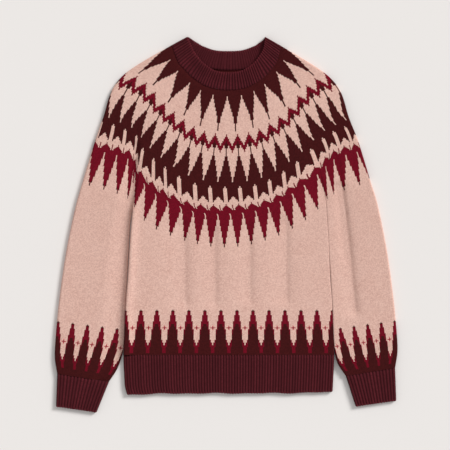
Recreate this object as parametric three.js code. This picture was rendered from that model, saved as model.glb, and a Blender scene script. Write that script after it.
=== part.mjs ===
// A fair isle jumper with a round yoke, laid flat on its back, front side up. Sizes are in millimetres.
// The origin is on the surface it rests on, under the middle of its outline. +X is to the viewer's right,
// +Y points from the hem to the neck, and +Z is up. Each knitted piece is a wall of cloth: the front layer
// lies over the back layer, and the two meet in the folded edges.
import * as THREE from "three";

// Cloth
const KNIT_WALL = 2.4; // plain knit of the yoke, front, back and sleeves
const RIB_WALL = 3; // neckband, hem rib and cuffs
const SEAM_GAP = 0.3; // between two pieces that are joined
const STEEP_GAP = 0.6; // the same at each end of the yoke, whose rounds curve and run aslant
const LAYER_GAP = 0.4; // between the front and the back layer at a folded edge
const KNIT_TOP = 7.6; // upper face of the front layer above the surface
const RIB_TOP = 7.2; // upper face of the ribbed bands
const FOLD_ROUND = 8; // how far in from a folded edge the front layer reaches its full height
const INSET = 2.7; // thickness of the cloth in the fold itself, on every piece
const INSET_ZONE = 20; // how far in the inner face is drawn away from a folded edge
const RIB_DEPTH = 0.9;

// Ribs that show across each band, one knit column and one purl column each
const HEM_RIBS = 76;
const CUFF_RIBS = 15;
const NECK_RIBS = 51;

// Stations on a round of the yoke, from the centre (0) to the folded edge (1), as a share of its stitches
const STATIONS = [0, 0.25, 0.5, 0.62, 0.75, 1];
const UNDERARM = 0.62; // the share of the stitches that goes into the front, the rest into the sleeve
const FREE_EDGE = -28; // the neckband's free edge, as a depth from the neck seam
const NECK_SEAM = 0;
const YOKE_END = 268;

// Rounds of the neckband and yoke. depth is measured down the centre front from the neck seam. centre is a
// height, and the other stations are [across, height] on the right-hand side, mirrored on the left. shift
// moves a round to the right, and tilt lifts its right side and lowers its left, as the jumper lies.
const ROUNDS = [
  { depth: FREE_EDGE, centre: 258, chest: [24, 262], side: [44, 276], arm: [52, 286], sleeve: [59, 297],
    fold: [66, 319], shift: 4, tilt: 0 },
  { depth: NECK_SEAM, centre: 228, chest: [33, 233], side: [59, 248], arm: [73, 262], sleeve: [84, 276],
    fold: [93, 304], shift: 2, tilt: -1 },
  { depth: 70, centre: 158, chest: [45, 166], side: [86, 192], arm: [105, 210], sleeve: [126, 233],
    fold: [168, 258], shift: 2, tilt: -3 },
  { depth: 102, centre: 126, chest: [51, 134], side: [98, 164], arm: [118, 184], sleeve: [140, 205],
    fold: [193, 229], shift: 2, tilt: -2 },
  { depth: 155, centre: 73, chest: [61, 82], side: [118, 118], arm: [140, 139], sleeve: [164, 160],
    fold: [209, 181], shift: 2, tilt: -1 },
  { depth: 191, centre: 36, chest: [63, 43], side: [122, 76], arm: [151, 100], sleeve: [174, 124],
    fold: [224, 140], shift: 5, tilt: 6 },
  { depth: YOKE_END, centre: -41, chest: [70, -29], side: [138, 4], arm: [164, 35], sleeve: [186, 49],
    fold: [246, 68], shift: 6, tilt: 7 },
];
const BACK_NECK_RISE = [37, 34]; // how much higher the back lies at the free edge and at the neck seam

// The body's half width at heights below the underarm, and how far its middle lies to the right
const BODY = [
  { height: 35, half: 165 },
  { height: -26, half: 169 },
  { height: -89, half: 172 },
  { height: -128, half: 175 },
  { height: -176, half: 177 },
  { height: -221, half: 179 },
  { height: -271, half: 177 },
  { height: -289, half: 176 },
];
const BODY_SHIFT = 4.5;
const HEM_TOP = -221;
const HEM_END = -289;
const HEM_LIFT = 5; // how much higher the hem's right corner lies than its left

// Sleeve sections below the yoke on the right-hand side. outer and inner are [across, height]. Down to the
// hem the inner edge follows the body's edge, so those rows give only its height. A sleeve lies lower by its
// drop, and the inner edge of its end is fuller by so much.
const SLEEVE = [
  { along: 0.2, outer: [257, 30], inner: 4 },
  { along: 0.42, outer: [272, -43], inner: -60 },
  { along: 0.67, outer: [284, -128], inner: -143 },
  { along: 0.86, outer: [290, -192], inner: -206 },
  { along: 0.94, outer: [291, -222], inner: [188, -238] },
  { along: 1, outer: [287, -248], inner: [203, -262] },
];
const CUFF_END = { outer: [289, -304], inner: [220, -314] };
const SLEEVE_CLEAR = 0.9; // between a sleeve and the body's edge beside it
const SLEEVES = [
  { name: "left_sleeve", cuff: "left_cuff", side: -1, drop: 5, fuller: 4 },
  { name: "right_sleeve", cuff: "right_cuff", side: 1, drop: -5, fuller: 0 },
];

// Troughs that the front layer lies in, from end to end, with their depth and half width
const TROUGHS = [
  { place: "left armpit", from: [-149, 134], to: [-160, 34], depth: 2.4, width: 6 },
  { place: "right armpit", from: [167, 68], to: [170, 34], depth: 2, width: 5 },
  { place: "right sleeve, upper", from: [201, 66], to: [211, -20], depth: 2.2, width: 5 },
  { place: "right sleeve, lower", from: [211, -20], to: [225, -165], depth: 1.8, width: 7 },
  { place: "left sleeve", from: [-226, 20], to: [-246, -150], depth: 1.1, width: 10 },
  { place: "front, far left", from: [-68, 0], to: [-66, -135], depth: 1.3, width: 13 },
  { place: "front, near left", from: [-16, -12], to: [-15, -140], depth: 1.1, width: 12 },
  { place: "front, near right", from: [42, -8], to: [43, -132], depth: 1.2, width: 12 },
  { place: "front, far right", from: [105, 4], to: [106, -128], depth: 1.3, width: 13 },
];

const BODY_REACH = 170; // half the width of the front and back, for the rounding of their edges
const SLEEVE_REACH = 48;
const CUFF_REACH = 38;
const YOKE_FOLD_REACH = [118, 255]; // stitches by the fold, as if as wide all round, at each end of the yoke

const group = new THREE.Group();

function mix(a, b, share) {
  return a + (b - a) * share;
}

// A smooth curve through values at stops, with each slope taken from the two neighbours
function smooth(stops, values, at) {
  let k = 0;
  while (k < stops.length - 2 && at > stops[k + 1]) k++;
  const slope = (i) => {
    const low = Math.max(i - 1, 0);
    const high = Math.min(i + 1, stops.length - 1);
    return (values[high] - values[low]) / (stops[high] - stops[low]);
  };
  const span = stops[k + 1] - stops[k];
  const s = (at - stops[k]) / span;
  const rise = values[k + 1] - values[k];
  const bend = (1 - s) * (slope(k) * span - rise) - s * (slope(k + 1) * span - rise);
  return values[k] + s * rise + s * (1 - s) * bend;
}

// A place on a round, at a signed share of its stitches, on the front (1) or the back (-1) layer
function onRound(share, depth, layer) {
  const depths = ROUNDS.map((r) => r.depth);
  const column = (read) => smooth(depths, ROUNDS.map(read), depth);
  const names = ["chest", "side", "arm", "sleeve", "fold"];
  const xs = [0, ...names.map((n) => column((r) => r[n][0]))];
  const ys = [column((r) => r.centre), ...names.map((n) => column((r) => r[n][1]))];
  const away = Math.abs(share);
  const side = Math.sign(share);
  // The next station mirrored across the centre keeps the round level there
  const stops = [-STATIONS[1], ...STATIONS];
  const x = smooth(stops, [-xs[1], ...xs], away);
  const y = smooth(stops, [ys[1], ...ys], away);
  const pulled = 0.4 * Math.min(1, away / 0.25) + 0.6 * Math.exp(-(((away - 0.5) / 0.14) ** 2));
  const rise = mix(...BACK_NECK_RISE, (depth - FREE_EDGE) / (NECK_SEAM - FREE_EDGE));
  const fade = depth < NECK_SEAM ? rise : BACK_NECK_RISE[1] * (1 - depth / YOKE_END);
  return [
    side * x + column((r) => r.shift) * (1 - away ** 6),
    y + side * column((r) => r.tilt) * pulled + (layer < 0 ? fade * (1 - away ** 2) : 0),
  ];
}

function bodyHalf(height) {
  return smooth(BODY.map((r) => r.height).reverse(), BODY.map((r) => r.half).reverse(), height);
}

// Upper face of the front layer, lowered by the troughs
function topAt(x, y, full) {
  let lowered = 0;
  for (const { from, to, depth, width } of TROUGHS) {
    const run = [to[0] - from[0], to[1] - from[1]];
    const length = Math.hypot(...run);
    const along = ((x - from[0]) * run[0] + (y - from[1]) * run[1]) / length;
    const off = ((x - from[0]) * run[1] - (y - from[1]) * run[0]) / length;
    const beyond = Math.max(0, -along, along - length);
    lowered += depth * Math.exp(-((off / width) ** 2) - (beyond / (2 * width)) ** 2);
  }
  return full - Math.min(lowered, full - 2 * KNIT_WALL - LAYER_GAP);
}

// A quarter round: 0 at the edge, 1 from the given distance inwards
function quarter(inwards, radius) {
  const s = Math.min(1, Math.max(0, inwards / radius));
  return Math.sqrt(1 - (1 - s) ** 2);
}

// The four faces of a flattened tube: front and back layer, each with an outer and an inner face. plan
// gives [x, y] at a place across (-1 to 1) and along (0 to 1), and half its half width there.
function flatTube({ plan, half, thick, full, rib = () => 0 }) {
  const mid = thick + LAYER_GAP / 2;
  return {
    outer: (across, along, layer) => {
      const [x, y] = plan(across, along, layer);
      const inwards = (1 - Math.abs(across)) * half(along);
      if (layer < 0) return [x, y, mid * (1 - quarter(inwards, mid))];
      const raised = quarter(inwards, FOLD_ROUND);
      return [x, y, mid + (topAt(x, y, full) - rib(across) - mid) * raised];
    },
    inner: (across, along, layer) => {
      const inwards = (1 - Math.abs(across)) * half(along);
      const inset = (INSET / half(along)) * Math.max(0, 1 - inwards / INSET_ZONE);
      const [x, y] = plan(across - Math.sign(across) * inset, along, layer);
      if (layer < 0) return [x, y, mid - (mid - thick) * quarter(inwards, mid)];
      const least = mid + LAYER_GAP / 2;
      const under = Math.max(least, topAt(x, y, full) - thick);
      return [x, y, mid + (under - mid) * quarter(inwards, FOLD_ROUND)];
    },
  };
}

// Stops across a layer: close together at the rounded edges, even between them
function acrossStops(halfWidth, count) {
  const edge = [0, 0.12, 0.45, 1].map((s) => (s * FOLD_ROUND) / halfWidth);
  const inside = 1 - edge[3];
  const middle = Array.from({ length: count - 1 }, (_, k) => mix(-inside, inside, (k + 1) / count));
  return [...edge.map((e) => e - 1), ...middle, ...edge.map((e) => 1 - e).reverse()];
}

function evenStops(count, from = 0, to = 1) {
  return Array.from({ length: count + 1 }, (_, k) => mix(from, to, k / count));
}

const SAME_STOP = 1e-6; // stops closer than this count as one

// Triangles between two rows of vertices whose stops may differ. Where they agree, the first row goes
// first, or the second with a lag, so that the rims on both sides of a seam are cut alike.
function zip(faces, a, b, lag = SAME_STOP) {
  let i = 0;
  let j = 0;
  while (i < a.length - 1 || j < b.length - 1) {
    if (j === b.length - 1 || (i < a.length - 1 && a[i + 1].at <= b[j + 1].at + lag)) {
      faces.push(a[i].id, a[i + 1].id, b[j].id);
      i++;
    } else {
      faces.push(a[i].id, b[j + 1].id, b[j].id);
      j++;
    }
  }
}

// A wall of cloth between the two faces of a shape. outer and inner are lists of stops, { at, across, layer },
// along are the places down the piece that both faces share, and a first row may have stops of its own.
function clothWall(shape, { outer: outerStops, inner: innerStops, along, ring = true, first = {} }) {
  const points = [];
  const faces = [];
  const rows = (face, stops, firstStops = stops) =>
    along.map((v, k) => {
      const row = (k ? stops : firstStops).map(({ at, across, layer }) => {
        points.push(...face(across, v, layer));
        return { at, id: points.length / 3 - 1 };
      });
      if (ring) row.push({ at: Infinity, id: row[0].id });
      return row;
    });
  const outer = rows(shape.outer, outerStops, first.outer);
  const inner = rows(shape.inner, innerStops, first.inner);
  for (let k = 0; k < along.length - 1; k++) {
    zip(faces, outer[k + 1], outer[k]);
    zip(faces, inner[k], inner[k + 1]);
  }
  zip(faces, outer[0], inner[0]);
  zip(faces, inner.at(-1), outer.at(-1), -SAME_STOP);
  if (!ring) {
    const side = (rowsOf, pick) => rowsOf.map((row, k) => ({ at: k, id: row.at(pick).id }));
    zip(faces, side(inner, 0), side(outer, 0));
    zip(faces, side(outer, -1), side(inner, -1));
  }
  const geometry = new THREE.BufferGeometry();
  geometry.setAttribute("position", new THREE.Float32BufferAttribute(points, 3));
  geometry.setIndex(faces);
  geometry.computeVertexNormals();
  return geometry;
}

// Stops once round a tube: left to right over the front layer, and back under it
function ringStops(front, back) {
  const over = front.map((across) => ({ at: across + 1, across, layer: 1 }));
  const under = back.slice(1, -1).map((across) => ({ at: across + 3, across: -across, layer: -1 }));
  return [...over, ...under];
}

const BODY_SHARE = UNDERARM * 0.995;
const BODY_FINE = acrossStops(BODY_REACH, 22);
const BODY_COARSE = acrossStops(BODY_REACH, 11);
const SLEEVE_FINE = acrossStops(SLEEVE_REACH, 8);
const SLEEVE_COARSE = acrossStops(SLEEVE_REACH, 3);

// The share of a round's stitches at a place across the sleeve, from its inner (-1) to its outer edge (1)
function sleeveShare(across) {
  return mix(UNDERARM * 1.005, 1, (across + 1) / 2);
}

function panelStops(across, layer) {
  return across.map((w) => ({ at: w, across: layer * w, layer }));
}

function addPiece(name, geometry, color, roughness) {
  const material = new THREE.MeshStandardMaterial({ color, roughness, metalness: 0 });
  const mesh = new THREE.Mesh(geometry, material);
  mesh.name = name;
  group.add(mesh);
}

const PEACH = 0xdeb2a5;
const WINE = 0x501926;
const MAROON = 0x46161e;

// Where the neckband meets the yoke, both have these stops. The back half is ribbed on its inside.
const NECK_COLUMNS = evenStops(2 * NECK_RIBS, -1, 1);
const NECK_PLAIN = evenStops(22, -1, 1);
const NECK_ROW = {
  outer: ringStops(NECK_COLUMNS, NECK_PLAIN),
  inner: ringStops(NECK_PLAIN, NECK_COLUMNS),
};

// Neckband: a ribbed ring whose front half lies over its back half
function makeNeckband() {
  const isPurl = (across) => Math.round((across + 1) * NECK_RIBS) % 2;
  const shape = flatTube({
    plan: (share, along, layer) => onRound(share, mix(FREE_EDGE, NECK_SEAM, along), layer),
    half: (along) => mix(90, YOKE_FOLD_REACH[0], along),
    thick: RIB_WALL,
    full: RIB_TOP,
    rib: (across) => RIB_DEPTH * isPurl(across),
  });
  const plainInner = shape.inner;
  shape.inner = (share, along, layer) => {
    const [x, y, z] = plainInner(share, along, layer);
    const sunk = layer < 0 ? RIB_DEPTH * isPurl(share) * Math.min(1, 8 * (1 - Math.abs(share))) : 0;
    return [x, y, z - sunk];
  };
  addPiece("neckband", clothWall(shape, { ...NECK_ROW, along: [0, 0.12, 0.5, 1] }), WINE, 0.9);
}

// Yoke: one ring of knit from the neck seam down to the front, back and sleeves
function makeYoke() {
  const shape = flatTube({
    plan: (share, along, layer) =>
      onRound(share, mix(NECK_SEAM + STEEP_GAP, YOKE_END, along), layer),
    half: (along) => mix(...YOKE_FOLD_REACH, along),
    thick: KNIT_WALL,
    full: KNIT_TOP,
  });
  // The same stops as the pieces below, so that the last round lies along their first rows
  const columns = (body, sleeve) => {
    const arm = sleeve.map((w) => sleeveShare(w));
    return [...arm.map((t) => -t).reverse(), ...body.map((w) => w * BODY_SHARE), ...arm];
  };
  const fine = columns(BODY_FINE, SLEEVE_FINE);
  const coarse = columns(BODY_COARSE, SLEEVE_COARSE);
  const outer = ringStops(fine, coarse);
  const inner = ringStops(coarse, coarse);
  const geometry = clothWall(shape, { outer, inner, along: evenStops(13), first: NECK_ROW });
  addPiece("yoke", geometry, MAROON, 0.92);
}

// Front and back: from the yoke's last round between the underarms down to the hem rib
function makeBody() {
  const top = (across, layer) => onRound(across * BODY_SHARE, YOKE_END + STEEP_GAP, layer);
  const plan = (across, along, layer) => {
    const [x0, y0] = top(across, layer);
    const y = mix(y0, HEM_TOP + SEAM_GAP / 2, along);
    const start = x0 - BODY_SHIFT - across * bodyHalf(y0);
    return [BODY_SHIFT + across * bodyHalf(y) + start * (1 - along) ** 2, y];
  };
  const shape = flatTube({ plan, half: () => BODY_REACH, thick: KNIT_WALL, full: KNIT_TOP });
  // The side seams, where the front's edges lie on the back's
  const atSeam = (face) => (across, along, layer) => {
    const [x, y, z] = face(across, along, layer);
    return [x, y, z + (Math.abs(across) === 1 ? (layer * SEAM_GAP) / 2 : 0)];
  };
  const panel = { outer: atSeam(shape.outer), inner: atSeam(shape.inner) };
  const makePanel = (name, layer, outerStops) => {
    const outer = panelStops(outerStops, layer);
    const inner = panelStops(BODY_COARSE, layer);
    addPiece(name, clothWall(panel, { outer, inner, along: evenStops(12), ring: false }), PEACH, 0.95);
  };
  makePanel("front", 1, BODY_FINE);
  makePanel("back", -1, BODY_COARSE);
}

// Hem rib: a ribbed tube below the front and back
function makeHem() {
  const plan = (across, along) => {
    const end = HEM_END + (HEM_LIFT / 2) * (1 + across ** 3);
    const y = mix(HEM_TOP - SEAM_GAP / 2, end, along);
    return [BODY_SHIFT + across * bodyHalf(y), y];
  };
  const isPurl = (across) => Math.round((across + 1) * HEM_RIBS) % 2;
  const rib = (across) => RIB_DEPTH * isPurl(across);
  const shape = flatTube({ plan, half: () => BODY_REACH, thick: RIB_WALL, full: RIB_TOP, rib });
  const outer = ringStops(evenStops(2 * HEM_RIBS, -1, 1), BODY_COARSE);
  const inner = ringStops(BODY_COARSE, BODY_COARSE);
  addPiece("hem_rib", clothWall(shape, { outer, inner, along: [0, 0.5, 0.94, 1] }), WINE, 0.9);
}

// Sleeves, each one piece folded to a tube, and their cuffs
function makeSleeve({ name, cuff, side, drop, fuller }) {
  const innerRow = (row) =>
    Array.isArray(row.inner)
      ? [row.inner[0] - fuller, row.inner[1]]
      : [bodyHalf(row.inner) + side * BODY_SHIFT + SLEEVE_CLEAR, row.inner];
  const start = (q) => {
    const [x, y] = onRound(side * sleeveShare(q), YOKE_END + STEEP_GAP, 1);
    return [side * x, y];
  };
  const stops = [0, ...SLEEVE.map((r) => r.along)];
  const outerEdge = [start(1), ...SLEEVE.map((r) => [r.outer[0], r.outer[1] - drop])];
  const innerEdge = [start(-1), ...SLEEVE.map(innerRow).map(([x, y]) => [x, y - drop])];
  const edgeAt = (edge, along) => [0, 1].map((k) => smooth(stops, edge.map((p) => p[k]), along));
  const plan = (across, along) => {
    const q = side * across;
    const share = (q + 1) / 2;
    const level = [0, 1].map((k) => mix(innerEdge[0][k], outerEdge[0][k], share));
    const from = start(q);
    const inner = edgeAt(innerEdge, along);
    const outer = edgeAt(outerEdge, along);
    const [x, y] = [0, 1].map(
      (k) => mix(inner[k], outer[k], share) + (from[k] - level[k]) * (1 - along) ** 4,
    );
    return [side * x, y];
  };
  const shape = flatTube({ plan, half: () => SLEEVE_REACH, thick: KNIT_WALL, full: KNIT_TOP });
  const plain = ringStops(SLEEVE_COARSE, SLEEVE_COARSE);
  const outer = ringStops(SLEEVE_FINE, SLEEVE_COARSE);
  addPiece(name, clothWall(shape, { outer, inner: plain, along: evenStops(14) }), PEACH, 0.95);

  const cuffInner = innerEdge.at(-1);
  const cuffOuter = outerEdge.at(-1);
  const cuffPlan = (w, along) => {
    const share = (side * w + 1) / 2;
    const length = cuffOuter[1] - (CUFF_END.outer[1] - drop);
    const down = mix(SEAM_GAP / length, 1, along);
    const ends = [CUFF_END.inner, CUFF_END.outer];
    const tops = [cuffInner, cuffOuter];
    const [inner, outer] = tops.map((p, k) => [
      mix(p[0], ends[k][0], down),
      mix(p[1], ends[k][1] - drop, down),
    ]);
    return [side * mix(inner[0], outer[0], share), mix(inner[1], outer[1], share)];
  };
  const rib = (w) => RIB_DEPTH * (Math.round((w + 1) * CUFF_RIBS) % 2);
  const half = () => CUFF_REACH;
  const cuffShape = flatTube({ plan: cuffPlan, half, thick: RIB_WALL, full: RIB_TOP, rib });
  const ribbed = ringStops(evenStops(2 * CUFF_RIBS, -1, 1), SLEEVE_COARSE);
  const stopsDown = [0, 0.5, 0.93, 1];
  addPiece(cuff, clothWall(cuffShape, { outer: ribbed, inner: plain, along: stopsDown }), WINE, 0.9);
}

makeNeckband();
makeYoke();
makeBody();
makeHem();
SLEEVES.forEach(makeSleeve);

export default group;
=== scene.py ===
import math
from collections import namedtuple
from functools import lru_cache

import bmesh
import bpy
from mathutils import Matrix, Vector


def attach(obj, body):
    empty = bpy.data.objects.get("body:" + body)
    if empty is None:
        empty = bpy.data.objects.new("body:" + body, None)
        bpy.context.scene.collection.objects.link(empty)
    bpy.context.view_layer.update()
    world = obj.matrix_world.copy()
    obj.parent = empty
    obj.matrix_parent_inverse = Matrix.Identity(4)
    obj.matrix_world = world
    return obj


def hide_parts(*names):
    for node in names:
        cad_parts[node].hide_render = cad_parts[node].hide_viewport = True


bl_info = {
    "name": "Fair Isle Jumper",
    "version": (1, 0, 0),
    "blender": (4, 5, 0),
    "location": "3D View > Sidebar > Jumper",
    "description": "Knits a round-yoke fair isle jumper, laid flat, over its packed CAD part",
    "category": "Add Mesh",
}

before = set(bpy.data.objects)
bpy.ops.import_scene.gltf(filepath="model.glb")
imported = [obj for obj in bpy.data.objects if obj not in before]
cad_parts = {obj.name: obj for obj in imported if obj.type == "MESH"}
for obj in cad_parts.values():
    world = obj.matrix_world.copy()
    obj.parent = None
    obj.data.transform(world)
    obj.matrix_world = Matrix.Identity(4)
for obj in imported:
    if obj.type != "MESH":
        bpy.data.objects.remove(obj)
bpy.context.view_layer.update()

# The tables and functions below are in millimetres, in the CAD part's frame. Meshes are in metres.
MM = 0.001

KNIT_TOP = 7.6  # upper face of the plain knit above the floor
RIB_TOP = 7.4
FOLD_ROUND = 2.6  # how far in from a folded edge the front layer reaches its full height
BODY_EDGE = {-1: 1.8, 1: 0.3}  # the same at the body's left and right edge, below the underarm
SLEEVE_EDGE = {-1: 34, 1: 0.3}  # and at each sleeve's inner edge, left and right
ROLLED_EDGE = 4.4  # how far the body's left edge stands above the cloth beside it
FOLD_MIDDLE = 2.6  # height of the fold itself

# Ribs that show across each band
HEM_RIBS = 76
CUFF_RIBS = 15
NECK_RIBS = 51

STATIONS = (0, 0.25, 0.5, 0.62, 0.75, 1)  # shares of a round's stitches, from its centre to the fold
UNDERARM = 0.62
FREE_EDGE, NECK_SEAM, YOKE_END = -28, 0, 268

# A round of the neckband or yoke: its depth below the neck seam, the height of its centre, and [across,
# height] at the other stations. shift moves it to the right, and tilt lifts its right side.
Round = namedtuple("Round", "depth centre chest side arm sleeve fold shift tilt")
ROUNDS = (
    Round(-28, 258, (24, 262), (44, 276), (52, 286), (59, 297), (66, 319), 4, 0),
    Round(0, 228, (33, 233), (59, 248), (73, 262), (84, 276), (93, 304), 2, -1),
    Round(70, 158, (45, 166), (86, 192), (105, 210), (126, 233), (168, 258), 2, -3),
    Round(102, 126, (51, 134), (98, 164), (118, 184), (140, 205), (193, 229), 2, -2),
    Round(155, 73, (61, 82), (118, 118), (140, 139), (164, 160), (209, 181), 2, -1),
    Round(191, 36, (63, 43), (122, 76), (151, 100), (174, 124), (224, 140), 5, 6),
    Round(268, -41, (70, -29), (138, 4), (164, 35), (186, 49), (246, 68), 6, 7),
)
BACK_NECK_RISE = (37, 34)  # rise of the back's centre, at the neckband's free edge and at its seam

Level = namedtuple("Level", "height half")
BODY = (
    Level(-289, 176),
    Level(-271, 177),
    Level(-221, 179),
    Level(-176, 177),
    Level(-128, 175),
    Level(-89, 172),
    Level(-26, 169),
    Level(35, 165),
)
BODY_SHIFT = 4.5  # how far the body lies to the right
HEM_TOP, HEM_END, HEM_LIFT = -221, -289, 5  # the hem rises by its lift from left to right

# A section of the sleeve on the right-hand side. Down to the hem the inner edge follows the body's edge.
Section = namedtuple("Section", "along outer inner")
SLEEVE = (
    Section(0.2, (257, 30), 4),
    Section(0.42, (272, -43), -60),
    Section(0.67, (284, -128), -143),
    Section(0.86, (290, -192), -206),
    Section(0.94, (291, -222), (188, -238)),
    Section(1, (287, -248), (203, -262)),
)
CUFF_OUTER, CUFF_INNER = (289, -304), (220, -314)

# A sleeve lies lower by its drop, and the inner edge of its end is fuller by so much. The chart starts
# above the cuff, and its rows are drawn out by stretch.
Arm = namedtuple("Arm", "name side drop fuller chart_start stretch")
LEFT_ARM = Arm("left", -1, 5, 4, 8.5, 1.077)
RIGHT_ARM = Arm("right", 1, -5, 0, 5.2, 1.0)
SLEEVE_CLEAR = {-1: 0.4, 1: 0.05}  # between the left and right sleeve and the body's edge beside it

# Creases in the cloth from end to end, with their depth and the width of their steep side. That is the one
# on the left of a crease, as it is followed to its end. The cloth falls to it gently from the other side.
Trough = namedtuple("Trough", "start end depth width")
FRONT_TROUGHS = (
    Trough((-149, 134), (-153, 108), 3.4, 2.5),
    Trough((-153, 108), (-157, 72), 5.4, 3),
    Trough((-157, 72), (-163, 44), 5.0, 3.5),
    Trough((165, 62), (172, 44), 1.6, 3),
    Trough((189, 110), (198, 66), 2.2, 4),
    Trough((197, 64), (204, 10), 6.6, 3.8),
    Trough((204, 10), (212, -60), 6.2, 4.2),
    Trough((212, -60), (221, -145), 4.6, 5),
    Trough((-70, -4), (-68, -128), 3.0, 6),
    Trough((-18, -12), (-17, -130), 2.7, 5),
    Trough((41, -8), (42, -124), 2.7, 5),
    Trough((103, 0), (104, -124), 3.2, 6),
)
BACK_TROUGHS = (
    Trough((150, 120), (158, 40), 1.0, 6),
    Trough((-152, 96), (-157, 34), 0.8, 6),
    Trough((-214, 40), (-236, -120), 0.8, 9),
    Trough((216, 30), (232, -90), 0.7, 9),
    Trough((-84, 6), (-80, -120), 0.7, 13),
    Trough((12, -24), (10, -150), 0.6, 11),
    Trough((88, 2), (92, -104), 0.7, 12),
)
GENTLE_SIDE = 4.4  # reach of a crease's gentle side, as so many widths of its steep one
DEEPEST, YOKE_DEEPEST, SLEEVE_DEEPEST = 3.4, 4.6, 4.8  # how far creases may lower each part's front

# How the yoke's chart lies at places across the front: drawn aside along its round, as a share, at the
# peach spikes and at the crimson teeth, and drawn down at the spikes
Drawn = namedtuple("Drawn", "across spikes teeth down")
DRAWN = (
    Drawn(-1, 0, 0, 7),
    Drawn(-0.8, -0.018, -0.018, 8),
    Drawn(-0.685, -0.026, -0.03, 12),
    Drawn(-0.635, 0.02, -0.02, 0),
    Drawn(-0.5, 0.031, -0.007, 0),
    Drawn(-0.4, 0.048, -0.009, 0),
    Drawn(-0.3, 0.034, -0.019, 0),
    Drawn(-0.2, 0.023, -0.012, 0),
    Drawn(0.1, 0.019, -0.007, 0),
    Drawn(0.5, 0.012, -0.009, 0),
    Drawn(0.6, -0.009, -0.014, 0),
    Drawn(0.7, -0.018, 0, 0),
    Drawn(0.8, -0.018, -0.006, 0),
    Drawn(0.9, -0.036, -0.038, 0),
    Drawn(1, -0.036, -0.045, 0),
)
SHOULDER_DRAWN = 7  # how far down the chart is drawn over each shoulder

BODY_REACH, SLEEVE_REACH, CUFF_REACH, NECK_REACH = 170, 48, 38, 118
YOKE_REACH = 255
CUFF_LENGTH = 56

ROW = 1.5  # height of a row of knit
RIB_STEPS = 8  # columns of the grid in each rib
CHART_STITCHES, BODY_REPEATS = 14, 13  # stitches in a repeat of the hem's chart, and repeats across a side
YOKE_CAST_ON = 84  # stitches in a quarter of the yoke's first round, which is one unit of share
INCREASES = ((72, 16), (112, 20), (190, 24))  # depths in the yoke, with the stitches each quarter gains
CAST_OFF = 4  # half the width of a band's cast-off edge
REVERSE = 3.6  # how far over the cast-off edge a band's reverse side begins
ROUNDED = (0, 0.03, 0.08, 0.15, 0.25, 0.38, 0.55, 0.76)  # shares of a rounded edge with a column of the grid

FLOOR_REACH = 6  # in metres, from the middle of the floor to its edges
FLOOR_GAP = 0.4  # how far the floor lies below the jumper
VIEW_X, VIEW_Y = -1.95, -0.77  # the place that the camera looks straight down on


def mix(a, b, share):
    return a + (b - a) * share


def ease(low, high, at):
    """0 up to low, 1 from high, and smooth between."""
    s = min(1, max(0, (at - low) / (high - low)))
    return s * s * (3 - 2 * s)


def quarter(inwards, radius):
    """A quarter round: 0 at the edge, 1 from the given distance inwards."""
    s = min(1, max(0, inwards / radius))
    return math.sqrt(1 - (1 - s) ** 2)


def smooth(stops, values, at):
    """A smooth curve through values at stops, with each slope taken from the two neighbours."""
    last = len(stops) - 1
    k = 0
    while k < last - 1 and at > stops[k + 1]:
        k += 1

    def slope(i):
        low, high = max(i - 1, 0), min(i + 1, last)
        return (values[high] - values[low]) / (stops[high] - stops[low])

    span = stops[k + 1] - stops[k]
    s = (at - stops[k]) / span
    rise = values[k + 1] - values[k]
    bend = (1 - s) * (slope(k) * span - rise) - s * (slope(k + 1) * span - rise)
    return values[k] + s * rise + s * (1 - s) * bend


@lru_cache(maxsize=None)
def stations_at(depth):
    """The stations of the round at a depth: their places across and heights, its shift and its tilt."""
    depths = [r.depth for r in ROUNDS]

    def column(values):
        return smooth(depths, values, depth)

    fields = ("chest", "side", "arm", "sleeve", "fold")
    across = [0] + [column([getattr(r, f)[0] for r in ROUNDS]) for f in fields]
    heights = [column([r.centre for r in ROUNDS])]
    heights += [column([getattr(r, f)[1] for r in ROUNDS]) for f in fields]
    return across, heights, column([r.shift for r in ROUNDS]), column([r.tilt for r in ROUNDS])


def on_round(share, depth, layer):
    """A place on a round at a signed share of its stitches, on the front (1) or the back (-1) layer."""
    across, heights, shift, tilt = stations_at(depth)
    away = abs(share)
    side = math.copysign(1, share)
    stops = (-STATIONS[1],) + STATIONS
    x = smooth(stops, [-across[1]] + across, away)
    y = smooth(stops, [heights[1]] + heights, away)
    pulled = 0.4 * min(1, away / 0.25) + 0.6 * math.exp(-(((away - 0.5) / 0.14) ** 2))
    if layer < 0:
        if depth < NECK_SEAM:
            rise = mix(*BACK_NECK_RISE, (depth - FREE_EDGE) / (NECK_SEAM - FREE_EDGE))
        else:
            rise = BACK_NECK_RISE[1] * (1 - depth / YOKE_END)
        y += rise * (1 - away**2)
    return side * x + shift * (1 - away**6), y + side * tilt * pulled


def body_half(height):
    return smooth([r.height for r in BODY], [r.half for r in BODY], height)


def sunk(x, y, troughs):
    """How far the troughs lower the cloth at a place."""
    depth = 0
    for t in troughs:
        run = (t.end[0] - t.start[0], t.end[1] - t.start[1])
        length = math.hypot(*run)
        along = ((x - t.start[0]) * run[0] + (y - t.start[1]) * run[1]) / length
        off = ((x - t.start[0]) * run[1] - (y - t.start[1]) * run[0]) / length
        beyond = max(0, -along, along - length)
        across = (off / (GENTLE_SIDE * t.width)) ** 2 if off > 0 else -off / t.width
        depth = max(depth, t.depth * math.exp(-across - (beyond / (2 * t.width)) ** 2))
    return depth


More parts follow.
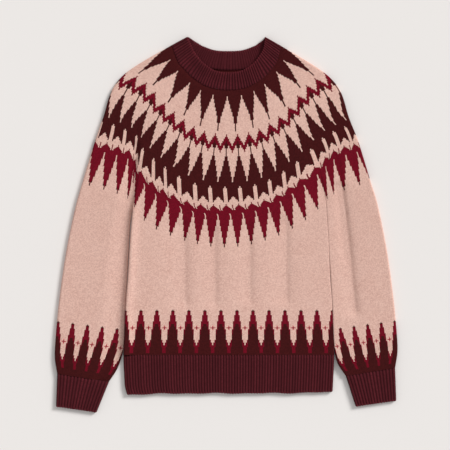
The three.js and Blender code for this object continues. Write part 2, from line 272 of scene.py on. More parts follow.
def front_height(x, y, top, raised, deepest=DEEPEST):
    """Height of the front layer's outer face, where raised is how far it has risen from the fold."""
    puff = 0.35 * math.sin(x / 41 + 1.3) * math.sin(y / 57 + 0.4) - 0.15
    lowered = min(sunk(x, y, FRONT_TROUGHS), deepest)
    return FOLD_MIDDLE + (top + puff - lowered - FOLD_MIDDLE) * raised


def back_height(x, y, inwards):
    """Height of the back layer's outer face, which lies on the floor but for its creases."""
    flat = quarter(inwards, FOLD_MIDDLE)
    return FOLD_MIDDLE * (1 - flat) + sunk(x, y, BACK_TROUGHS) * flat


def drawn(across, layer, depth):
    """The place in the yoke's chart of a stitch, which creases and the pull of the sleeves draw aside."""
    k = 0
    while k < len(DRAWN) - 2 and across > DRAWN[k + 1].across:
        k += 1
    low, high = DRAWN[k], DRAWN[k + 1]
    at = (across - low.across) / (high.across - low.across)
    spikes, teeth, down = [mix(low[n], high[n], at) for n in (1, 2, 3)]
    above = 0.009 * ease(30, 90, depth)
    aside = mix(above, mix(spikes, teeth, ease(196, 214, depth)), ease(134, 174, depth))
    down *= ease(115, 180, depth) * (1 - 0.75 * ease(195, 262, depth))
    shoulder = ease(0.66, 0.9, abs(across)) * ease(20, 70, depth) * (1 - ease(105, 150, depth))
    down += SHOULDER_DRAWN * shoulder
    if layer < 0:
        uneven_tone_and_inside_shade = 1 - ease(0, 0.3, 1 - abs(across))
        return 2 - across - aside * uneven_tone_and_inside_shade, depth + down * uneven_tone_and_inside_shade
    return across + aside, depth + down


def rolled_edge(side, inwards):
    """How far the body's left edge stands above the cloth beside it."""
    return ROLLED_EDGE * math.exp(-(((inwards - 3) / 9) ** 2)) if side < 0 else 0


def sleeve_flank(side, inwards):
    """How far a sleeve has risen at a distance in from its inner edge. The left one rises slowly."""
    if side > 0:
        return quarter(inwards, SLEEVE_EDGE[side])
    return 0.08 * quarter(inwards, 3) + 0.92 * ease(12, SLEEVE_EDGE[side], inwards)


def beside_underarm(share):
    """How far the cloth has risen beside the line of the underarm, where body and sleeve part."""
    away = abs(share)
    side = -1 if share < 0 else 1
    if away < UNDERARM:
        inwards = (UNDERARM - away) / UNDERARM * BODY_REACH
        return quarter(inwards, BODY_EDGE[side]) * (1 + rolled_edge(side, inwards) / KNIT_TOP)
    return sleeve_flank(side, (away - UNDERARM) / (1 - UNDERARM) * 2 * SLEEVE_REACH)


def yoke_place(spot, depth):
    share, layer = spot
    x, y = on_round(share, depth, layer)
    inwards = (1 - abs(share)) * mix(NECK_REACH, YOKE_REACH, depth / YOKE_END)
    if layer < 0:
        return x, y, back_height(x, y, inwards)
    parting = mix(1, beside_underarm(share), ease(165, YOKE_END, depth) ** 2)
    pulled = 1 - 0.22 * (1 - ease(0, 5, depth))
    return x, y, front_height(x, y, KNIT_TOP, quarter(inwards, FOLD_ROUND) * parting * pulled, YOKE_DEEPEST)


def body_place(spot, along):
    across, layer = spot
    x0, y0 = on_round(across * UNDERARM, YOKE_END, layer)
    y = mix(y0, HEM_TOP, along)
    side = -1 if across < 0 else 1
    start = x0 - BODY_SHIFT - across * body_half(y0)
    x = BODY_SHIFT + across * body_half(y) + start * (1 - along) ** 2
    inwards = (1 - abs(across)) * BODY_REACH
    if layer < 0:
        return x, y, back_height(x, y, inwards)
    top = KNIT_TOP + rolled_edge(side, inwards)
    return x, y, front_height(x, y, top, quarter(inwards, BODY_EDGE[side]))


def sleeve_edges(arm):
    """The stops down a sleeve with the places of its outer and inner edge, on the right-hand side."""

    def inner_at(row):
        if isinstance(row.inner, tuple):
            return row.inner[0] - arm.fuller, row.inner[1]
        return body_half(row.inner) + arm.side * BODY_SHIFT + SLEEVE_CLEAR[arm.side], row.inner

    def start(share):
        x, y = on_round(arm.side * share, YOKE_END, 1)
        return arm.side * x, y

    outer = [start(1)] + [(r.outer[0], r.outer[1] - arm.drop) for r in SLEEVE]
    inner = [start(UNDERARM)] + [(x, y - arm.drop) for x, y in map(inner_at, SLEEVE)]
    return [0] + [r.along for r in SLEEVE], outer, inner


@lru_cache(maxsize=None)
def sleeve_row(arm, along):
    """The outer and inner end of a row of the sleeve."""
    stops, outer, inner = sleeve_edges(arm)
    return [[smooth(stops, [p[k] for p in edge], along) for k in (0, 1)] for edge in (outer, inner)]


def sleeve_plan(arm, across, along):
    share = (arm.side * across + 1) / 2
    outer, inner = sleeve_row(arm, along)
    outer0, inner0 = sleeve_row(arm, 0)
    x0, y0 = on_round(arm.side * mix(UNDERARM, 1, share), YOKE_END, 1)
    start = (arm.side * x0, y0)
    held = (1 - along) ** 4
    place = [
        mix(inner[k], outer[k], share) + (start[k] - mix(inner0[k], outer0[k], share)) * held
        for k in (0, 1)
    ]
    return arm.side * place[0], place[1]


def sleeve_place(arm, spot, along):
    across, layer = spot
    x, y = sleeve_plan(arm, across, along)
    inwards = (1 - abs(across)) * SLEEVE_REACH
    if layer < 0:
        return x, y, back_height(x, y, inwards)
    inner = across * arm.side < 0
    raised = sleeve_flank(arm.side, inwards) if inner else quarter(inwards, FOLD_ROUND)
    return x, y, front_height(x, y, KNIT_TOP, raised, SLEEVE_DEEPEST)


def cuff_plan(arm, across, along):
    share = (arm.side * across + 1) / 2
    outer, inner = sleeve_row(arm, 1)
    ends = [(x, y - arm.drop) for x, y in (CUFF_OUTER, CUFF_INNER)]
    low, high = [
        [mix(top[k], end[k], along) for k in (0, 1)] for top, end in ((inner, ends[1]), (outer, ends[0]))
    ]
    return arm.side * mix(low[0], high[0], share), mix(low[1], high[1], share)


def hem_plan(across, along):
    end = HEM_END + HEM_LIFT / 2 * (1 + across**3)
    wave = 1.1 * math.sin(across * 17.5 + 0.6) * math.sin(across * 5 + 2) * along**3
    y = mix(HEM_TOP, end, along) - wave
    return BODY_SHIFT + across * (body_half(y) - (1 - across) * 1.5 * ease(0.7, 1, along) ** 2), y


def evenly(low, high, count):
    return [mix(low, high, k / count) for k in range(count + 1)]


def front_spots(reach, left, right, count):
    """Places across a front layer, close together where its edges are rounded, to a radius each side."""
    near = (*ROUNDED, 1)
    west = [-1 + s * left / reach for s in near]
    east = [1 - s * right / reach for s in near][::-1]
    return west + evenly(west[-1], east[0], count)[1:-1] + east


def round_tube(front, back):
    """Spots once round a tube: left to right over the front layer and back under it."""
    return [(w, 1) for w in front] + [(w, -1) for w in reversed(back)][1:]


def rib_groove(ribs):
    """How far into the purl groove beside a rib a place lies, from 0 to 1."""
    return (0.5 + 0.5 * math.cos(2 * math.pi * ribs)) ** 1.5


def band_wall(plan, reach, ribs, wall, relief, length, lifted):
    """The two faces of a ribbed band and the round lip that joins them at its free edge.

    plan gives [x, y] at a place across and along on a layer. A row is (face, along), and on the lip the
    face is its angle. lifted says how far the front layer stands up at a place."""

    def face(inner, spot, along):
        across, layer = spot
        inwards = (1 - abs(across)) * reach
        inset = wall / reach * max(0, 1 - inwards / 14) if inner else 0
        x, y = plan(across - math.copysign(inset, across), along, layer)
        groove = rib_groove((across + 1) / 2 * ribs)
        lift = 0.6 * relief * (1 - groove if inner else groove)
        if layer < 0:
            flat = quarter(inwards, FOLD_MIDDLE)
            under = FOLD_MIDDLE * (1 - flat) + relief * groove * flat
            over = min(wall + 0.6 * relief * (1 - groove), FOLD_MIDDLE + wall)
            return Vector((x, y, mix(FOLD_MIDDLE, over, flat) if inner else under))
        rise = quarter(inwards, FOLD_ROUND)
        top = FOLD_MIDDLE + (RIB_TOP + lifted(across, along) - FOLD_MIDDLE) * rise
        if inner:
            return Vector((x, y, mix(FOLD_MIDDLE, top - wall - lift, rise)))
        return Vector((x, y, top - relief * groove * rise))

    def place(spot, row):
        kind, along = row
        if kind in ("outer", "inner"):
            return face(kind == "inner", spot, along)
        outer, inner = face(False, spot, along), face(True, spot, along)
        onward = (outer - face(False, spot, along - 0.04)).normalized()
        half = (outer - inner) / 2
        angle = math.radians(kind)
        return (outer + inner) / 2 + half * math.cos(angle) + onward * half.length * math.sin(angle)

    end = 1 - wall / 2 / length
    return place, end


def band_rows(end, outer, inner):
    """Rows down a band's outer face, round its lip and back up its inner face."""
    down = [("outer", along) for along in evenly(0, end, outer)]
    lip = [(angle, end) for angle in range(25, 180, 26)]
    up = [("inner", along) for along in reversed(evenly(0, end, inner))]
    return down + lip + up + down[:1]


def row_travel(row, length):
    """How far along the cloth a row lies, down the outer face and on up the inner one."""
    kind, along = row
    if kind == "outer":
        return along * length
    if kind == "inner":
        return (2 - along) * length
    return along * length + kind / 60


class Value:
    """A number in a shader, on which Python's maths signs make Math nodes."""

    def __init__(self, shader, socket):
        self.shader, self.socket = shader, socket

    def apply(self, operation, *others):
        inputs = dict(enumerate((self, *others)))
        node = self.shader.node("ShaderNodeMath", {"operation": operation}, inputs)
        return Value(self.shader, node.outputs[0])

    def turned(self, operation, other):
        node = self.shader.node("ShaderNodeMath", {"operation": operation}, {0: other, 1: self})
        return Value(self.shader, node.outputs[0])

    def __add__(self, other):
        return self.apply("ADD", other)

    __radd__ = __add__

    def __sub__(self, other):
        return self.apply("SUBTRACT", other)

    def __rsub__(self, other):
        return self.turned("SUBTRACT", other)

    def __mul__(self, other):
        return self.apply("MULTIPLY", other)

    __rmul__ = __mul__

    def __truediv__(self, other):
        return self.apply("DIVIDE", other)

    def __pow__(self, other):
        return self.apply("POWER", other)

    def __abs__(self):
        return self.apply("ABSOLUTE")

    def __lt__(self, other):
        return self.apply("LESS_THAN", other)

    def __gt__(self, other):
        return self.apply("GREATER_THAN", other)

    def floor(self):
        return self.apply("FLOOR")

    def part(self):
        """What is left over a whole number."""
        return self.apply("FRACT")

    def least(self, other):
        return self.apply("MINIMUM", other)

    def most(self, other):
        return self.apply("MAXIMUM", other)


class Shader:
    """A material's node tree."""

    def __init__(self, name):
        self.material = bpy.data.materials.new(name)
        self.material.use_nodes = True
        self.tree = self.material.node_tree
        self.tree.nodes.clear()

    def node(self, kind, settings=None, inputs=None):
        made = self.tree.nodes.new(kind)
        for key, value in (settings or {}).items():
            setattr(made, key, value)
        for key, value in (inputs or {}).items():
            self.feed(made.inputs[key], value)
        return made

    def feed(self, socket, value):
        if isinstance(value, Value):
            self.tree.links.new(value.socket, socket)
        elif isinstance(value, bpy.types.NodeSocket):
            self.tree.links.new(value, socket)
        else:
            socket.default_value = value

    def value(self, socket):
        return Value(self, socket)

    def blend(self, factor, a, b):
        """Colour a, or b where factor is 1."""
        node = self.node("ShaderNodeMix", {"data_type": "RGBA"}, {0: factor, 6: a, 7: b})
        return node.outputs[2]

    def stitches(self):
        """The place in the piece's own stitch coordinates."""
        uv = self.node("ShaderNodeUVMap", {"uv_map": "stitches"})
        parts = self.node("ShaderNodeSeparateXYZ", inputs={0: uv.outputs[0]})
        return self.value(parts.outputs[0]), self.value(parts.outputs[1])

    def cloud(self, scale, detail=2.0):
        """Soft noise from 0 to 1, where scale is how many lumps there are in a metre."""
        place = self.node("ShaderNodeTexCoord").outputs["Object"]
        inputs = {"Vector": place, "Scale": scale, "Detail": detail}
        return self.value(self.node("ShaderNodeTexNoise", inputs=inputs).outputs[0])

    def speckle(self, column, row):
        """A number from 0 to 1 that is the same over each stitch."""
        place = self.node("ShaderNodeCombineXYZ", inputs={0: column.floor(), 1: row.floor()})
        inputs = {"Vector": place.outputs[0]}
        noise = self.node("ShaderNodeTexWhiteNoise", {"noise_dimensions": "2D"}, inputs)
        return self.value(noise.outputs[0])

    def wool(self, colour, height, relief, sheen, tint, roughness=0.95):
        """The finish of the yarn: rough, with a soft bloom at grazing angles and the stitches in relief."""
        bump = self.node("ShaderNodeBump", inputs={"Height": height, "Distance": relief})
        bump.inputs["Strength"].default_value = 0.85
        inputs = {
            "Base Color": colour,
            "Roughness": roughness,
            "Specular IOR Level": 0.08,
            "Sheen Weight": sheen,
            "Sheen Roughness": 0.55,
            "Sheen Tint": tint,
            "Normal": bump.outputs[0],
        }
        yarn = self.node("ShaderNodeBsdfPrincipled", inputs=inputs)
        self.node("ShaderNodeOutputMaterial", inputs={0: yarn.outputs[0]})
        return self.material


def rgb(red, green, blue):
    """A linear colour from 0 to 255 screen values."""
    parts = [c / 255 for c in (red, green, blue)]
    return tuple(c / 12.92 if c <= 0.04045 else ((c + 0.055) / 1.055) ** 2.4 for c in parts) + (1.0,)


def knit_relief(column, row):
    """Height of plain knit from 0 to 1: two legs of yarn in each stitch, which meet in a V."""
    across = column.part()
    aside = abs(across - 0.5)
    leg = 1 - (abs(aside - 0.25) * 4) ** 2
    turn = (row + aside * 1.3).part()
    return leg * 0.55 + turn * (1 - turn) * 1.8


def from_peak(share, repeats, stitches):
    """Whole stitches from the nearest peak of a motif that repeats so often in a unit of share."""
    phase = (share * repeats + 0.5).part() - 0.5
    return (abs(phase) * stitches + 0.5).floor()


def heathered(shader, yarns, column, row):
    """The peach yarn, flecked with lighter and darker fibres."""
    fleck = shader.speckle(column, row) - 0.5
    fibre = shader.cloud(520, 3.0) - 0.5
    fair = shader.blend(fibre * 1.15 + fleck * 0.65 + 0.68, yarns.peach_dark, yarns.peach)
    return shader.blend(shader.cloud(26) * 0.3, fair, yarns.peach_light)


def dyed(shader, colour, column, row, low=0.72, high=1.25):
    """A plain dyed yarn, a little darker or lighter from stitch to stitch."""
    amount = shader.speckle(column, row) * 0.6 + shader.cloud(420) * 0.4
    dark = tuple(c * low for c in colour[:3]) + (1.0,)
    light = tuple(min(1, c * high) for c in colour[:3]) + (1.0,)
    return shader.blend(amount, dark, light)


def yoke_chart(share, depth):
    """Where the yoke's chart has maroon and crimson, by the share of the round and depth from the neck."""
    spike = from_peak(share, 6, 14)
    maroon = depth < 11 + spike * 6.7 + (spike - 5).most(0) * 6

    zigzag = from_peak(share, 10, 10)
    crest = 75.5 + zigzag * 3.8
    crimson = (depth > crest) * (depth < crest + 11.5)
    stem = (zigzag < 1.5) * (depth > crest + 11.4) * (depth < 99)

    tooth = from_peak(share, 10, 12)
    inside = tooth < 1.5
    upper = 103 + tooth * 8.8 - (tooth < 0.5) * 5
    lower = inside * (163.5 + tooth * 3.5) + (1 - inside) * (193.5 - tooth * 2.25)
    maroon = maroon + stem + (depth > upper) * (depth < lower)

    flame = from_peak(share, 12, 12)
    tick = flame > 5.5
    brow = 192.5 + flame * 1.85 - tick * 10
    tip = 208 + flame * 10.4 - (flame - 5).most(0) * 5.4
    crimson = crimson + (depth > brow) * (depth < tip)
    worn = (depth > tip - 3.4) * (flame > 4.5)
    return maroon.least(1), crimson.least(1), worn


def hem_chart(repeats, height):
    """Where the hem's chart has crimson, maroon and coral, by its repeats and the height above the rib."""
    tooth = from_peak(repeats, 1, CHART_STITCHES)
    top = (76.5 - tooth * tooth * 2.1).most(47 - tooth * 4.4)
    crimson = height < top
    near = tooth < 4.5
    core = near * (53 - tooth * tooth * 1.2) + (1 - near) * (69 - tooth * 11).most(2.5)
    maroon = (height < core).most((height > 73.8) * crimson)
    off = abs(height - 45.75)
    coral = ((tooth > 6.5) * (off < 3.1)).most((tooth > 4.5) * (off < 0.8))
    heart = ((tooth > 6.5) * (off < 1.6)).most((tooth > 5.5) * (off < 0.8))
    return crimson, maroon, coral, heart


def yoke_wool(settings):
    yarns, sizes = settings.yarns, settings.sizes
    shader = Shader("yoke wool")
    share, depth = shader.stitches()
    stitches = YOKE_CAST_ON
    for start, gained in INCREASES:
        stitches = stitches + (depth > start) * gained
    column, row = share * stitches + 0.5, depth / ROW
    level = row.floor() * ROW + ROW / 2
    maroon, crimson, worn = yoke_chart(share, level)
    colour = heathered(shader, yarns, column, row)
    colour = shader.blend(maroon, colour, dyed(shader, tuple(yarns.maroon), column, row))
    colour = shader.blend(crimson, colour, dyed(shader, tuple(yarns.crimson), column, row))
    colour = shader.blend(crimson * worn, colour, tuple(yarns.maroon))
    return shader.wool(colour, knit_relief(column, row), sizes.relief, yarns.bloom, yarns.bloom_tint)


def hem_chart_wool(settings, name):
    """Wool of the body or a sleeve: u counts the chart's repeats, and v is the height in the chart."""
    yarns, sizes = settings.yarns, settings.sizes
    shader = Shader(name)
    repeats, height = shader.stitches()
    column, row = repeats * CHART_STITCHES + 0.5, height / ROW
    level = row.floor() * ROW + ROW / 2
    crimson, maroon, coral, heart = hem_chart(repeats, level)
    colour = heathered(shader, yarns, column, row)
    colour = shader.blend(coral, colour, tuple(yarns.coral))
    colour = shader.blend(heart, colour, tuple(yarns.coral_dark))
    colour = shader.blend(crimson, colour, dyed(shader, tuple(yarns.crimson), column, row))
    colour = shader.blend(maroon, colour, dyed(shader, tuple(yarns.maroon), column, row))
    return shader.wool(colour, knit_relief(column, row), sizes.relief, yarns.bloom, yarns.bloom_tint)


def rib_wool(settings, name, length):
    """Wool of the ribbed bands: u counts the ribs, and v is the way along them, over the cast-off edge at
    the band's length and on up the reverse side."""
    yarns, sizes = settings.yarns, settings.sizes
    shader = Shader(name)
    ribs, travel = shader.stitches()
    row = travel / ROW
    column = ribs * 2
    crown = (0.5 - abs(ribs.part() - 0.5)) * 2
    cast_off = 1 - (abs(travel - length) / CAST_OFF).least(1)
    reverse = travel > length + REVERSE
    plain = dyed(shader, tuple(yarns.wine), column, row, 0.7, 1.45)
    # The wine darkened. It serves both the uneven tone from rib to rib and painted shade on the band's
    # reverse side, its inside.
    uneven_tone_and_inside_shade = tuple(c * 0.55 for c in yarns.wine[:3]) + (1.0,)
    # The wine darkened for painted shade in the purl grooves between ribs.
    painted_groove_shade = tuple(c * 0.34 for c in yarns.wine[:3]) + (1.0,)
    uneven = shader.speckle(ribs, 0 * row) * 0.45 + shader.cloud(60) * 0.3
    # Darker from rib to rib at random, but not over the cast-off edge, so the rolled lip is painted lighter
    # as a painted highlight.
    colour = shader.blend(uneven * (1 - cast_off), plain, uneven_tone_and_inside_shade)
    # Painted shade in the purl grooves, weaker over the cast-off edge and on the reverse side.
    colour = shader.blend((1 - crown) ** 1.8 * (1 - cast_off * 0.9) * (1 - reverse * 0.55), colour, painted_groove_shade)
    # Painted shade over the band's reverse side, its inside.
    colour = shader.blend(reverse * 0.5, colour, uneven_tone_and_inside_shade)
    return shader.wool(colour, knit_relief(column, row), sizes.relief, yarns.bloom, yarns.bloom_tint)


def floor_paint(settings):
    shader = Shader("floor paint")
    tone = shader.cloud(2.5)
    base = tuple(settings.stage.floor)
    pale = tuple(min(1, c * 1.015) for c in base[:3]) + (1.0,)
    inputs = {"Base Color": shader.blend(tone, base, pale), "Roughness": 0.9, "Specular IOR Level": 0.1}
    paint = shader.node("ShaderNodeBsdfPrincipled", inputs=inputs)
    shader.node("ShaderNodeOutputMaterial", inputs={0: paint.outputs[0]})
    return shader.material


def knit_mesh(name, columns, rows, place, label, closed=False):
    """A grid of stitches. place gives each point in millimetres, and label its stitch coordinates from
    the numbers of its column and row. The grid is welded where its sides meet."""
    bm = bmesh.new()
    east, south = len(columns) - 1, len(rows) - 1
    bmesh.ops.create_grid(bm, x_segments=east, y_segments=south, size=1)
    numbers = {
        v: (round((v.co.x + 1) / 2 * east), round((1 - v.co.y) / 2 * south)) for v in bm.verts
    }
    stitches = bm.loops.layers.uv.new("stitches")
    for face in bm.faces:
        face.smooth = True
        for loop in face.loops:
            loop[stitches].uv = label(*numbers[loop.vert])
    for vert, (i, j) in numbers.items():
        vert.co = Vector(place(columns[i], rows[j])) * MM
    bmesh.ops.remove_doubles(bm, verts=bm.verts, dist=1e-6)
    for edge in bm.edges:
        edge.smooth = not edge.is_boundary
    if closed and bm.calc_volume(signed=True) < 0:
        bmesh.ops.reverse_faces(bm, faces=bm.faces)
    mesh = bpy.data.meshes.new(name)
    bm.to_mesh(mesh)
    bm.free()
    return mesh


def add_piece(mesh, material, node, wall=None):
    """Puts a mesh in the scene in place of a CAD node, as a wall of cloth if it has no inner face yet."""
    piece = bpy.data.objects.new(mesh.name, mesh)
    bpy.context.scene.collection.objects.link(piece)
    mesh.materials.append(material)
    if wall:
        solidify = piece.modifiers.new("cloth wall", "SOLIDIFY")
        solidify.thickness = wall
        solidify.offset = -1
    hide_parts(node)
    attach(piece, "root")
    return piece


class JumperSizes(bpy.types.PropertyGroup):
    """Sizes of the cloth."""

    wall: bpy.props.FloatProperty(
        name="Knit wall", description="Thickness of the plain knit", default=0.0019, unit="LENGTH"
    )
    rib_wall: bpy.props.FloatProperty(
        name="Rib wall", description="Thickness of the ribbed bands", default=0.0024, unit="LENGTH"
    )
    rib_relief: bpy.props.FloatProperty(
        name="Rib relief", description="Depth of the grooves between ribs", default=0.0011, unit="LENGTH"
    )
    relief: bpy.props.FloatProperty(
        name="Stitch relief", description="Depth of the stitches", default=0.0005, unit="LENGTH"
    )


class JumperYarns(bpy.types.PropertyGroup):
    """Colours of the yarns."""

    peach: bpy.props.FloatVectorProperty(
        name="Peach", description="Main yarn", default=rgb(236, 195, 180), size=4, subtype="COLOR"
    )
    peach_dark: bpy.props.FloatVectorProperty(
        name="Peach fleck", description="Dark flecks", default=rgb(200, 148, 134), size=4, subtype="COLOR"
    )
    peach_light: bpy.props.FloatVectorProperty(
        name="Peach bloom", description="Fair flecks", default=rgb(242, 208, 194), size=4, subtype="COLOR"
    )
    maroon: bpy.props.FloatVectorProperty(
        name="Maroon", description="Dark chart yarn", default=rgb(68, 19, 20), size=4, subtype="COLOR"
    )
    crimson: bpy.props.FloatVectorProperty(
        name="Crimson", description="Red chart yarn", default=rgb(115, 12, 32), size=4, subtype="COLOR"
    )
    wine: bpy.props.FloatVectorProperty(
        name="Wine", description="Yarn of the bands", default=rgb(90, 31, 38), size=4, subtype="COLOR"
    )
    coral: bpy.props.FloatVectorProperty(
        name="Coral", description="Crosses in the hem chart",
        default=rgb(216, 102, 108), size=4, subtype="COLOR"
    )
    coral_dark: bpy.props.FloatVectorProperty(
        name="Cross centre", description="Middle of a cross",
        default=rgb(148, 34, 48), size=4, subtype="COLOR"
    )
    bloom: bpy.props.FloatProperty(
        name="Bloom", description="Strength of the wool's soft sheen", default=0.03, subtype="FACTOR"
    )
    bloom_tint: bpy.props.FloatVectorProperty(
        name="Bloom tint", description="Colour of the sheen",
        default=rgb(235, 190, 185), size=4, subtype="COLOR"
    )


class JumperStage(bpy.types.PropertyGroup):
    """Floor, lights and camera."""

    floor: bpy.props.FloatVectorProperty(
        name="Floor", description="Colour of the floor", default=rgb(235, 231, 228), size=4, subtype="COLOR"
    )
    view_width: bpy.props.FloatProperty(
        name="View width", description="What the camera sees across the floor", default=0.765, unit="LENGTH"
    )
    camera_height: bpy.props.FloatProperty(
        name="Camera height", description="Height above the floor", default=3.0, unit="LENGTH"
    )
    sky: bpy.props.FloatProperty(name="Sky", description="Strength of the light all round", default=0.55)
    key: bpy.props.FloatProperty(name="Key light", description="Strength of the far soft lamp", default=2.6)
    key_height: bpy.props.FloatProperty(
        name="Key height", description="Angle of the lamp above the floor",
        default=math.radians(33), unit="ROTATION"
    )
    key_turn: bpy.props.FloatProperty(
        name="Key turn", description="Angle of the lamp right of straight up",
        default=math.radians(52), unit="ROTATION"
    )
    key_spread: bpy.props.FloatProperty(
        name="Key spread", description="How wide the lamp looks", default=math.radians(20), unit="ROTATION"
    )


class JumperSettings(bpy.types.PropertyGroup):
    """All settings of the jumper."""

    sizes: bpy.props.PointerProperty(type=JumperSizes, name="Sizes", description="Sizes of the cloth")
    yarns: bpy.props.PointerProperty(type=JumperYarns, name="Yarns", description="Colours of the yarns")
    stage: bpy.props.PointerProperty(type=JumperStage, name="Stage", description="Floor, lights and camera")


def add_band(
    settings, name, node, plan, reach, ribs, length,
    inner_rows=3, outer_rows=10, lifted=lambda across, along: 0,
):
    """Knits a ribbed band from its plan."""
    wall, relief = settings.sizes.rib_wall / MM, settings.sizes.rib_relief / MM
    place, end = band_wall(plan, reach, ribs, wall, relief, length, lifted)
    spots = evenly(-1, 1, ribs * RIB_STEPS)
    columns = round_tube(spots, spots)
    rows = band_rows(end, outer_rows, inner_rows)
    half = len(columns) // 2

    def label(i, j):
        travel = row_travel(rows[j], length) if j < len(rows) - 1 else 2.1 * length
        return i / half * ribs, travel

    mesh = knit_mesh(name, columns, rows, place, label, closed=True)
    piece = add_piece(mesh, rib_wool(settings, name + " wool", length), node)


class JUMPER_OT_neckband(bpy.types.Operator):
    """Knit the ribbed neckband, whose front half lies over its back half"""

    bl_idname = "jumper.neckband"
    bl_label = "Neckband"

    def execute(self, context):
        def plan(share, along, layer):
            return on_round(share, mix(NECK_SEAM, FREE_EDGE, along), layer)

        add_band(
            context.scene.jumper, "neckband_knit", "neckband", plan, 100, NECK_RIBS,
            length=NECK_SEAM - FREE_EDGE, inner_rows=9,
            lifted=lambda share, along: 2.2 * ease(0.35, 0.95, along),
        )
        return {"FINISHED"}


class JUMPER_OT_yoke(bpy.types.Operator):
    """Knit the patterned yoke, one ring from the neck seam to the front, back and sleeves"""

    bl_idname = "jumper.yoke"
    bl_label = "Yoke"

    def execute(self, context):
        settings = context.scene.jumper
        fold = FOLD_ROUND / YOKE_REACH
        back, share = [evenly(-1 + fold, 1 - fold, count) for count in (120, 264)]
        edge = [fold * s for s in ROUNDED]
        beside = [UNDERARM * (1 - s * BODY_EDGE[-1] / BODY_REACH) for s in (0, 0.05, 0.15, 0.3, 0.55)]
        beside += [UNDERARM + 0.38 * s * SLEEVE_EDGE[-1] / 2 / SLEEVE_REACH for s in (0.05, 0.15, 0.3, 0.6)]
        inside = sorted(share + beside + [-s for s in beside])
        front, back = [[e - 1 for e in edge] + s + [1 - e for e in reversed(edge)] for s in (inside, back)]
        columns = round_tube(front, back)
        rows = evenly(NECK_SEAM, YOKE_END, 92)

        def label(i, j):
            return drawn(*columns[i], rows[j])

        mesh = knit_mesh("yoke_knit", columns, rows, yoke_place, label)
        piece = add_piece(mesh, yoke_wool(settings), "yoke", settings.sizes.wall)
        return {"FINISHED"}


class JUMPER_OT_body(bpy.types.Operator):
    """Knit the front and the back, which meet at the side seams"""

    bl_idname = "jumper.body"
    bl_label = "Front and back"

    def execute(self, context):
        settings = context.scene.jumper
        material = hem_chart_wool(settings, "body wool")
        for name, layer in (("front", 1), ("back", -1)):
            across = front_spots(BODY_REACH, BODY_EDGE[-1], BODY_EDGE[1], 150)
            columns = [(layer * w, layer) for w in across]
            rows = evenly(0, 1, 84)

            def label(i, j):
                height = body_place(columns[i], rows[j])[1] - HEM_TOP
                return (columns[i][0] + 1) / 2 * BODY_REPEATS, height

            mesh = knit_mesh(name + "_knit", columns, rows, body_place, label)
            piece = add_piece(mesh, material, name, settings.sizes.wall)
        return {"FINISHED"}


class JUMPER_OT_hem(bpy.types.Operator):
    """Knit the hem rib"""

    bl_idname = "jumper.hem"
    bl_label = "Hem rib"

    def execute(self, context):
        add_band(
            context.scene.jumper, "hem_rib_knit", "hem_rib", lambda w, along, layer: hem_plan(w, along),
            BODY_REACH, HEM_RIBS, length=HEM_TOP - HEM_END,
        )
        return {"FINISHED"}


class JUMPER_OT_sleeves(bpy.types.Operator):
    """Knit both sleeves, each one piece folded to a tube"""

    bl_idname = "jumper.sleeves"
    bl_label = "Sleeves"

    def execute(self, context):
        settings = context.scene.jumper
        material = hem_chart_wool(settings, "sleeve wool")
        for arm in (LEFT_ARM, RIGHT_ARM):
            radii = [FOLD_ROUND, SLEEVE_EDGE[arm.side]][:: -arm.side]
            front = front_spots(SLEEVE_REACH, *radii, 44)
            columns = round_tube(front, front)
            rows = evenly(0, 1, 110)
            middle = [Vector(sleeve_plan(arm, 0, along)) for along in rows]
            above = [0.0]
            for k in range(len(rows) - 1, 0, -1):
                above.append(above[-1] + (middle[k] - middle[k - 1]).length)
            above.reverse()

            def label(i, j):
                across, layer = columns[i]
                round_arm = (1 + across) / 2 if layer > 0 else 2 - (1 + across) / 2
                if arm.side > 0:
                    round_arm = 1 - round_arm
                height = (above[j] - arm.chart_start) / arm.stretch
                return round_arm * (4.95 - 0.35 * ease(20, 80, height)) - 0.1, height

            mesh = knit_mesh(
                arm.name + "_sleeve_knit", columns, rows,
                lambda spot, along: sleeve_place(arm, spot, along), label,
            )
            piece = add_piece(mesh, material, arm.name + "_sleeve", settings.sizes.wall)
        return {"FINISHED"}


class JUMPER_OT_cuffs(bpy.types.Operator):
    """Knit both ribbed cuffs"""

    bl_idname = "jumper.cuffs"
    bl_label = "Cuffs"

    def execute(self, context):
        for arm in (LEFT_ARM, RIGHT_ARM):
            add_band(
                context.scene.jumper, arm.name + "_cuff_knit", arm.name + "_cuff",
                lambda w, along, layer: cuff_plan(arm, w, along),
                CUFF_REACH, CUFF_RIBS, length=CUFF_LENGTH,
            )
        return {"FINISHED"}


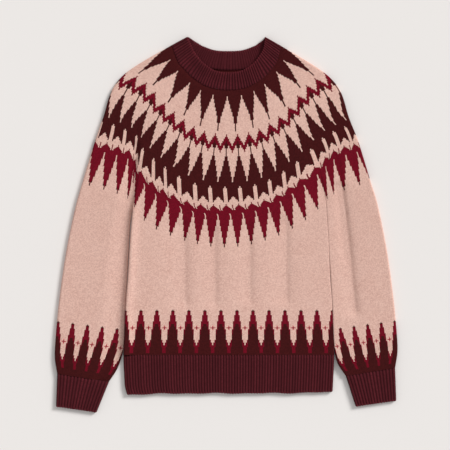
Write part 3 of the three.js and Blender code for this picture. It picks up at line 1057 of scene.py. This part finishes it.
class JUMPER_OT_stage(bpy.types.Operator):
    """Set up the floor, the lights and the camera"""

    bl_idname = "jumper.stage"
    bl_label = "Stage"

    def execute(self, context):
        scene = context.scene
        settings = scene.jumper
        stage = settings.stage
        bm = bmesh.new()
        bmesh.ops.create_grid(bm, x_segments=2, y_segments=2, size=FLOOR_REACH)
        mesh = bpy.data.meshes.new("floor")
        bm.to_mesh(mesh)
        bm.free()
        mesh.transform(Matrix.Translation((0, 0, -FLOOR_GAP * MM)))
        floor = bpy.data.objects.new("floor", mesh)
        mesh.materials.append(floor_paint(settings))
        scene.collection.objects.link(floor)

        world = bpy.data.worlds.new("studio")
        world.use_nodes = True
        sky = world.node_tree.nodes["Background"]
        sky.inputs[0].default_value = (1.0, 1.0, 1.0, 1)
        sky.inputs[1].default_value = stage.sky
        scene.world = world

        lamp = bpy.data.lights.new("far softbox", "SUN")
        lamp.energy = stage.key
        lamp.angle = stage.key_spread
        softbox = bpy.data.objects.new("far softbox", lamp)
        level = math.cos(stage.key_height)
        softbox.location = (
            level * math.sin(stage.key_turn), level * math.cos(stage.key_turn), math.sin(stage.key_height),
        )
        softbox.rotation_euler = softbox.location.to_track_quat("Z", "Y").to_euler()
        scene.collection.objects.link(softbox)

        camera = bpy.data.cameras.new("camera")
        camera.lens = camera.sensor_width * stage.camera_height / stage.view_width
        holder = bpy.data.objects.new("camera", camera)
        holder.location = (VIEW_X * MM, VIEW_Y * MM, stage.camera_height)
        scene.collection.objects.link(holder)
        scene.camera = holder
        scene.view_settings.view_transform = "Standard"
        return {"FINISHED"}


class JUMPER_PT_panel(bpy.types.Panel):
    """Builds the jumper piece by piece"""

    bl_idname = "JUMPER_PT_panel"
    bl_label = "Fair Isle Jumper"
    bl_space_type = "VIEW_3D"
    bl_region_type = "UI"
    bl_category = "Jumper"

    def draw(self, context):
        for operator in OPERATORS:
            self.layout.operator(operator.bl_idname)
        settings = context.scene.jumper
        for group in (settings.sizes, settings.yarns, settings.stage):
            box = self.layout.box()
            for key in group.__annotations__:
                box.prop(group, key)


OPERATORS = (
    JUMPER_OT_stage,
    JUMPER_OT_neckband,
    JUMPER_OT_yoke,
    JUMPER_OT_body,
    JUMPER_OT_hem,
    JUMPER_OT_sleeves,
    JUMPER_OT_cuffs,
)
CLASSES = (JumperSizes, JumperYarns, JumperStage, JumperSettings, *OPERATORS, JUMPER_PT_panel)


def register():
    for cls in CLASSES:
        bpy.utils.register_class(cls)
    bpy.types.Scene.jumper = bpy.props.PointerProperty(type=JumperSettings)


def unregister():
    del bpy.types.Scene.jumper
    for cls in reversed(CLASSES):
        bpy.utils.unregister_class(cls)


def main():
    register()
    bpy.ops.jumper.stage()
    bpy.ops.jumper.neckband()
    bpy.ops.jumper.yoke()
    bpy.ops.jumper.body()
    bpy.ops.jumper.hem()
    bpy.ops.jumper.sleeves()
    bpy.ops.jumper.cuffs()


if __name__ == "__main__":
    main()
